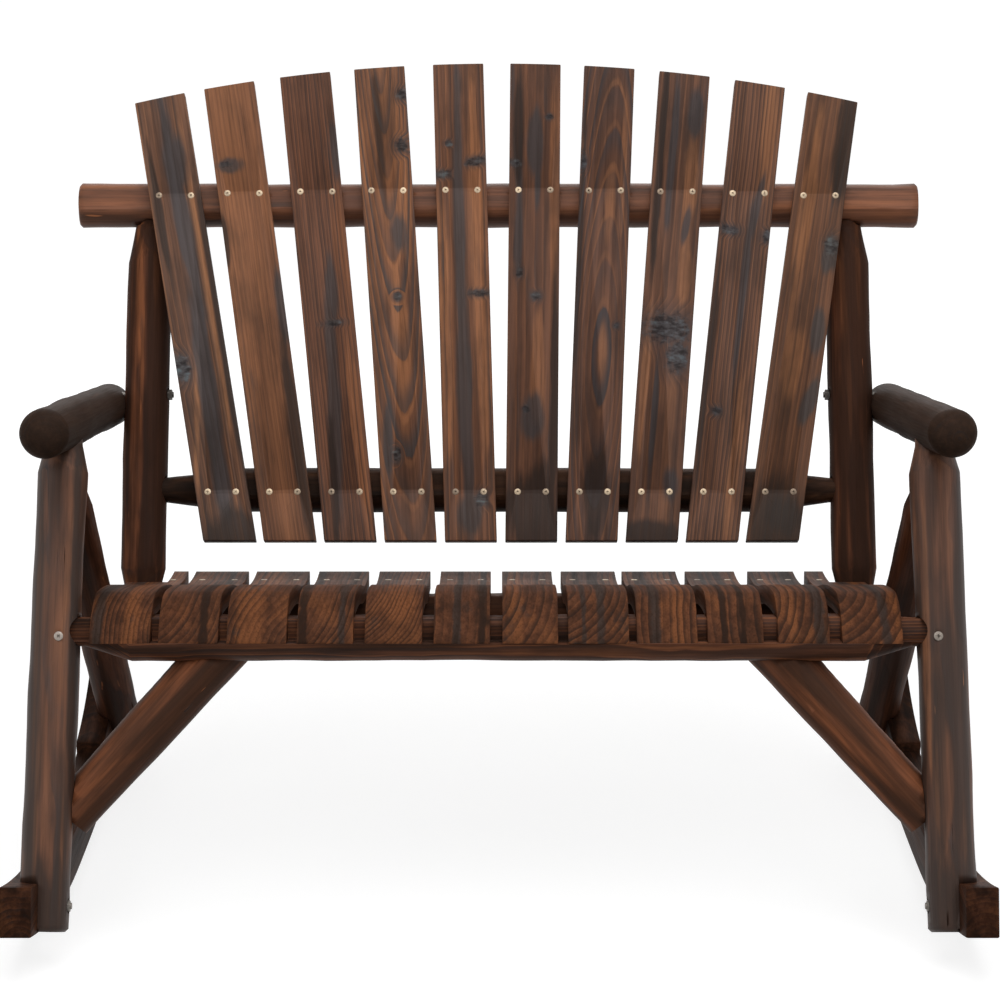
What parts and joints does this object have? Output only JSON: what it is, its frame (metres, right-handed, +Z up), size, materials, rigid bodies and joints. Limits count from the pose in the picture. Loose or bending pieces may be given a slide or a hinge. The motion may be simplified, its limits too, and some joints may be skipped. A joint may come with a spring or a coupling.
{
  "type": "rocking log bench",
  "caption": "Two-seat rustic rocking bench of dark carbonised logs: fanned slatted back, rolled slatted seat, log armrests and curved plank runners.",
  "frame": {"origin": "floor point under the middle of the bench's bounding box, in the resting pose", "axes": "+X across the bench to the sitter's left, +Y towards the back, +Z up; the front faces -Y"},
  "size_m": [1.2, 0.86, 1.0153],
  "materials": {
    "round_logs": "carbonised and lacquered, satin",
    "sawn_slats": "carbonised and lacquered, satin",
    "runner_planks": "carbonised and lacquered, satin",
    "brass_screws": "plain, slightly worn",
    "steel_hardware": "zinc plated"
  },
  "bodies": {
    "root": {"armrest_bolts": "steel_hardware", "armrest_left": "round_logs", "armrest_nuts": "steel_hardware", "armrest_right": "round_logs", "back_post_left": "round_logs", "back_post_right": "round_logs", "back_screws_low": "brass_screws", "back_screws_top": "brass_screws", "back_slat_01": "sawn_slats", "back_slat_02": "sawn_slats", "back_slat_03": "sawn_slats", "back_slat_04": "sawn_slats", "back_slat_05": "sawn_slats", "back_slat_06": "sawn_slats", "back_slat_07": "sawn_slats", "back_slat_08": "sawn_slats", "back_slat_09": "sawn_slats", "back_slat_10": "sawn_slats", "corner_brace_left": "round_logs", "corner_brace_right": "round_logs", "front_leg_left": "round_logs", "front_leg_right": "round_logs", "front_seat_rail": "round_logs", "lower_back_rail": "round_logs", "rail_lock_screws": "brass_screws", "rear_leg_left": "round_logs", "rear_leg_right": "round_logs", "rear_seat_rail": "round_logs", "runner_bolts": "steel_hardware", "runner_left": "runner_planks", "runner_nuts": "steel_hardware", "runner_right": "runner_planks", "runner_washers": "steel_hardware", "seat_screws_rear": "brass_screws", "seat_slat_01": "sawn_slats", "seat_slat_02": "sawn_slats", "seat_slat_03": "sawn_slats", "seat_slat_04": "sawn_slats", "seat_slat_05": "sawn_slats", "seat_slat_06": "sawn_slats", "seat_slat_07": "sawn_slats", "seat_slat_08": "sawn_slats", "seat_slat_09": "sawn_slats", "seat_slat_10": "sawn_slats", "seat_slat_11": "sawn_slats", "seat_slat_12": "sawn_slats", "top_back_rail": "round_logs"}
  },
  "joints": []
}
